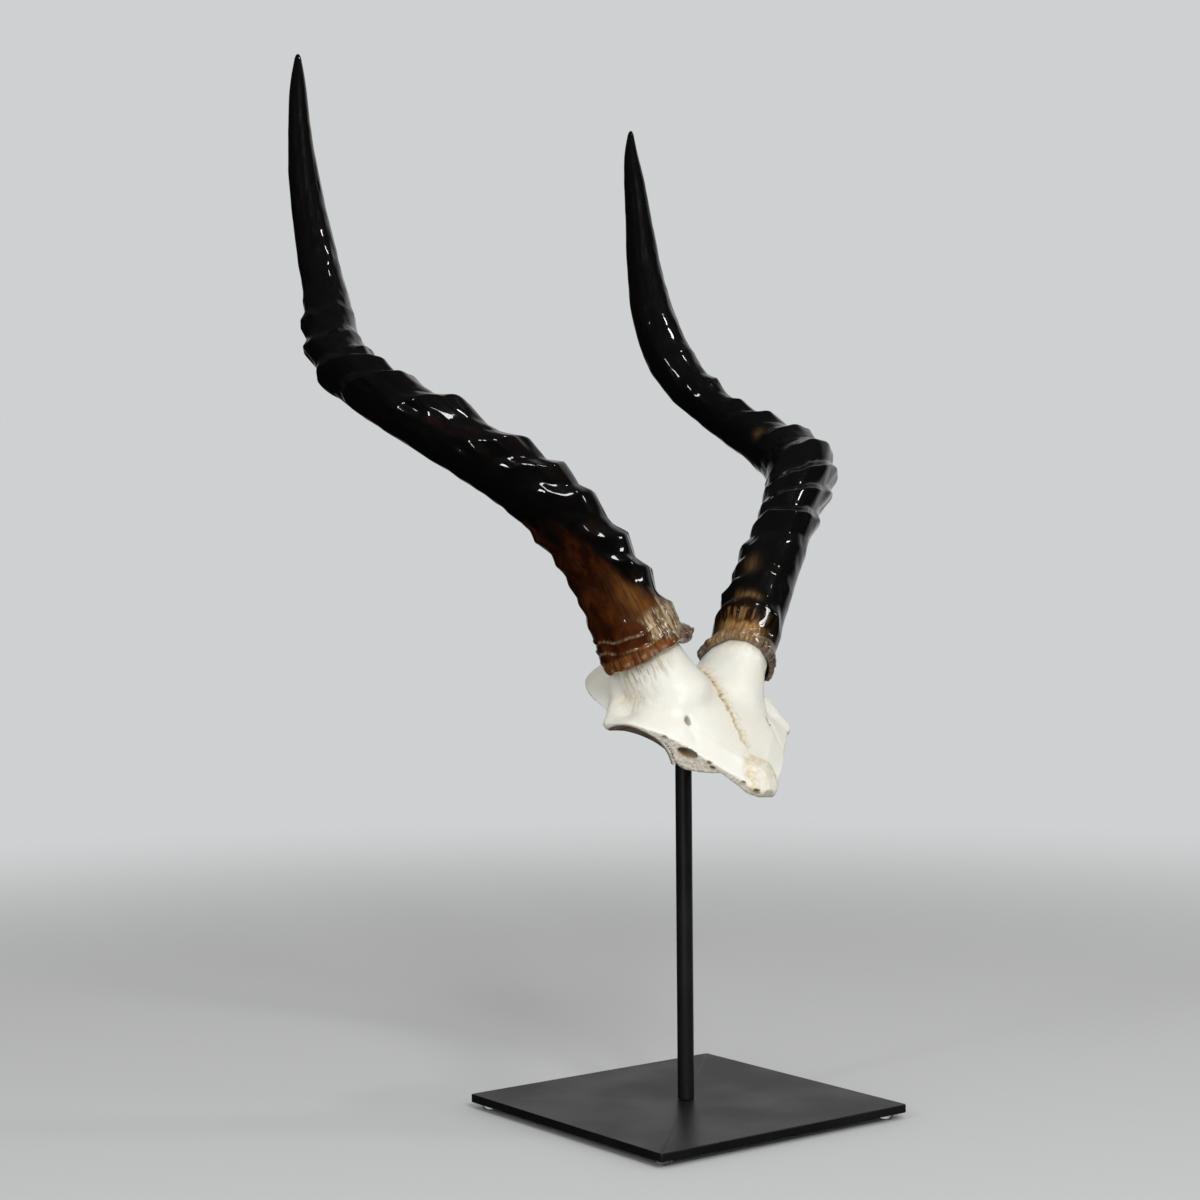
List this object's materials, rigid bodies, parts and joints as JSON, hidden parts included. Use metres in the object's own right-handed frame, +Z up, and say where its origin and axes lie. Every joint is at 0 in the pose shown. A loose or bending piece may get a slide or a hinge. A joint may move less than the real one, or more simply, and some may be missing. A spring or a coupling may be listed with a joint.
{
  "type": "impala horns on display stand",
  "caption": "Pair of ringed, lyre-shaped impala horns on a sawn skull cap, held up by a black steel rod on a square steel plate.",
  "frame": {"origin": "middle of the whole object's footprint, on the surface that the four feet stand on", "axes": "+Z up, skull's nose end faces -Y, the animal's left is +X"},
  "size_m": [0.2814, 0.2514, 0.5228],
  "materials": {
    "bone": "cleaned ivory-white bone, softly glossy, yellowish at the sutures and horn rims",
    "horn": "black horn under glossy varnish, amber-brown and fibrous at the base",
    "stand_black": "satin black powder coat",
    "screw_steel": "zinc-plated steel",
    "clear_foot": "clear soft polyurethane"
  },
  "bodies": {
    "root": {"skull_cap": "bone", "horn_sheath_right": "horn", "horn_sheath_left": "horn", "rod": "stand_black", "base_plate": "stand_black", "rod_screw": "screw_steel", "foot_front_right": "clear_foot", "foot_front_left": "clear_foot", "foot_back_right": "clear_foot", "foot_back_left": "clear_foot"}
  },
  "joints": []
}
